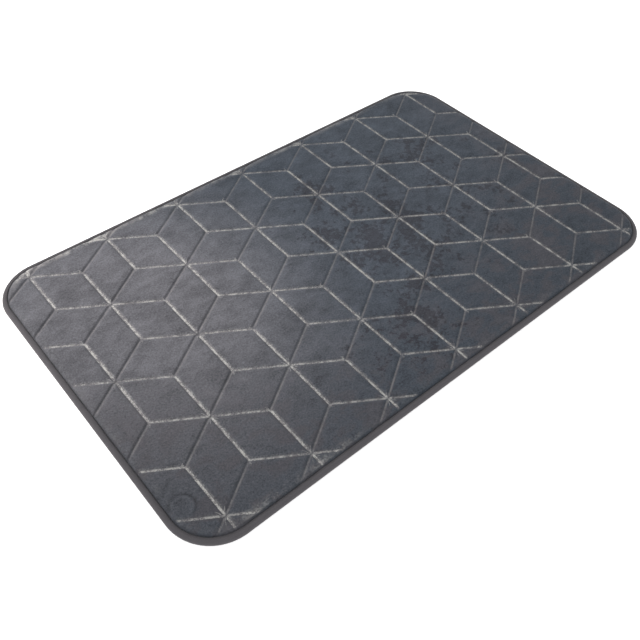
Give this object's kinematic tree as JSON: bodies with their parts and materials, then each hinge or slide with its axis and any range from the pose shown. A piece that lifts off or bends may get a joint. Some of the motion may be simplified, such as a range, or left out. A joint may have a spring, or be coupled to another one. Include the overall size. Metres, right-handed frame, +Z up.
{
  "type": "bath mat",
  "caption": "Rectangular round-cornered memory-foam bath mat with a pressed tumbling-block quilt pattern, a bound edge and a non-slip dotted back.",
  "frame": {"origin": "on the floor, under the middle of the mat", "axes": "+X along the mat's length, +Y across it, +Z up out of the quilted face"},
  "size_m": [0.8, 0.5, 0.012],
  "materials": {
    "velour": "dark grey short-pile velour, frosted where the quilt lines are pressed in",
    "foam": "open-cell polyurethane memory foam",
    "backing": "fine warp-knitted polyester",
    "grip": "satin printed PVC dots on a thin skin",
    "binding": "brushed knitted polyester tape",
    "thread": "polyester sewing thread",
    "label": "blank woven satin"
  },
  "bodies": {
    "root": {"face_fabric": "velour", "foam_core": "foam", "backing_cloth": "backing", "grip_dots": "grip", "edge_binding": "binding", "needle_thread": "thread", "bobbin_thread": "thread", "care_label": "label"}
  },
  "joints": []
}
